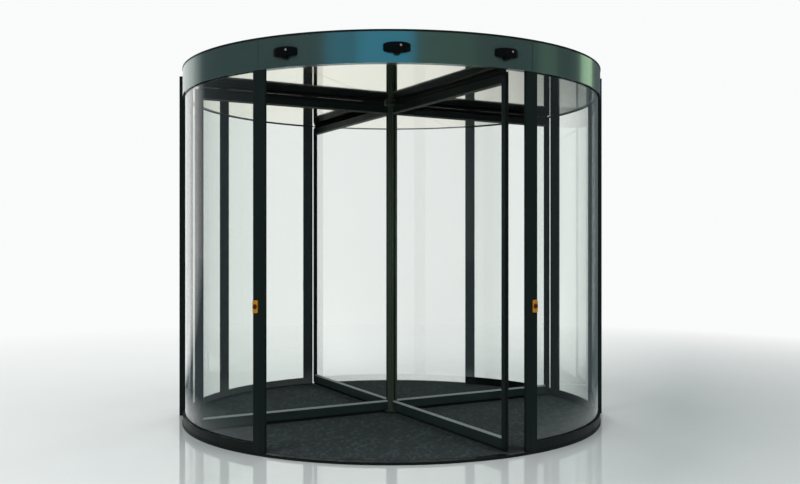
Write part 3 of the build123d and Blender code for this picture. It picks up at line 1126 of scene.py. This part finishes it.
socket_screw = [
    (0.0032, -0.001), (0.0032, 0.0004), (0.0028, 0.0009), (0.0016, 0.0010), (0.0014, 0.0002)
]
button_height = (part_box("button_plates")[0].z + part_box("button_plates")[1].z) / 2
plate_offset, plate_thickness, plate_screw_rise = 0.023, 0.008, 0.034
bezel_inner, bezel_outer, bezel_height = 0.0152, 0.0186, 0.0028
button_posts = [(33.0, 1), (151.0, -1), (-33.0, -1), (-151.0, 1)]
bezels = Skins()
plate_screws = Skins()
for bearing, wall_side in button_posts:
    out = at(bearing, 1, 0)
    centre = at(bearing, post_outer + plate_thickness, button_height, wall_side * plate_offset)
    torus(bezels, centre, out, ring_profile(bezel_inner, bezel_outer, 0.0, bezel_height))
    for rise in (-plate_screw_rise, plate_screw_rise):
        plate_screws.turned(centre + Vector((0, 0, rise)), out, socket_screw, 16)
bezels.piece("button_bezels", screw_steel, "drum", "button_plate")
plate_screws.piece("button_screws", screw_steel, "drum", "button_plate")

# %% Screws at the corners of the wings, on both faces
wing_screws = Skins()
stile_middle, lug_screw_radius = (stile_inner + stile_outer) / 2, 0.068
screw_levels = (wing_bottom + 0.022, wing_bottom + 0.050, wing_top - 0.020, wing_top - 0.042)
for bearing in wing_bearings.values():
    for face in (1, -1):
        axis = at(bearing, 0, 0, face)
        for radius in (stile_middle, lug_screw_radius):
            for height in screw_levels:
                centre = at(bearing, radius, height, face * wing_half)
                wing_screws.turned(centre, axis, socket_screw, 14)
wing_screws.piece("wing_screws", screw_steel, "rotor", "wing_frame")

# %% Screws of the floor pivot and of the ceiling hub
pivot_screws = Skins()
hub_screws = Skins()
pivot_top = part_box("floor_pivot")[1].z
pivot_circle, hub_circle = 0.047, 0.058
for bearing in range(15, 360, 60):
    pivot_screws.turned(at(bearing, pivot_circle, pivot_top), (0, 0, 1), socket_screw, 16)
    hub_screws.turned(at(bearing, hub_circle, ceiling_level), down, socket_screw, 16)
pivot_screws.piece("pivot_screws", screw_steel, "drum", "pivot_steel")
hub_screws.piece("hub_screws", wing_metal, "drum", "hub_metal")

# %% [markdown]
# Where the shaft meets its two bearings, a collar turns with it and hides the gap. It is
# a ring with rounded edges, and it stops about 5 mm short of the hub and 2 mm over the
# pivot, so that it never rubs.

# %% Collars at the two ends of the shaft
collars = Skins()
collar_outer, collar_round, collar_gap = 0.064, 0.003, 0.0004
# End of the shaft, which way the collar stands, the hole in it and its height.
collar_ends = ((wing_top, 1, 0.0262, 0.0195), (wing_bottom, -1, 0.0222, 0.0185))
for end, way, inner, height in collar_ends:
    foot, rim = collar_gap, height - collar_round
    profile = [(inner, foot), (collar_outer, foot), (collar_outer, rim)]
    for turn in map(math.radians, (30, 60, 90)):
        radius = collar_outer - collar_round * (1 - math.cos(turn))
        profile.append((radius, height - collar_round * (1 - math.sin(turn))))
    profile.append((inner, height))
    torus(collars, Vector((0, 0, end)), Vector((0, 0, way)), profile, 64)
collars.piece("shaft_collars", shaft_metal, "rotor", "shaft_metal")

# %% [markdown]
# ## Roof
#
# The roof is out of sight from the floor, but the part is also looked at from above.
# Flat cover strips close the joints of its sheets, and screws hold them down.

# %% Cover strips and screws of the roof
roof_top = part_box("canopy_roof")[1].z
roof_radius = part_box("canopy_roof")[1].x - 0.006
strips = Skins()
roof_screws = Skins()
strip_half, strip_edge, strip_thickness, strip_sunk = 0.030, 0.028, 0.0012, 0.0004
strip_section = [
    (-strip_half, 0.0),
    (-strip_edge, strip_thickness),
    (strip_edge, strip_thickness),
    (strip_half, 0.0),
    (strip_half, -strip_sunk),
    (-strip_half, -strip_sunk),
]
pan_screw = [(0.0045, -0.0005), (0.0045, 0.0003), (0.0032, 0.0007), (0.0012, 0.00075)]
screw_spacing, screw_inset, screw_across = 0.24, 0.03, 0.019
screw_level = roof_top + 0.0011
for y in (-0.9, -0.3, 0.3, 0.9):
    half = half_width(abs(y) + strip_half, roof_radius)
    strips.skin(
        [[Vector((x, y + dy, roof_top + dz)) for dy, dz in strip_section] for x in (-half, half)]
    )
    count = int(2 * half / screw_spacing)
    for k in range(count + 1):
        x = -half + screw_inset + 2 * (half - screw_inset) * k / count
        for dy in (-screw_across, screw_across):
            roof_screws.turned(Vector((x, y + dy, screw_level)), (0, 0, 1), pan_screw, 12)
strip_metal = coated_metal("roof_strip_coat", (0.045, 0.052, 0.052), 0.40, 0.3)
strips.piece("roof_cover_strips", strip_metal, "drum", "roof_panel")
roof_screws.piece("roof_screws", screw_steel, "drum", "roof_panel")
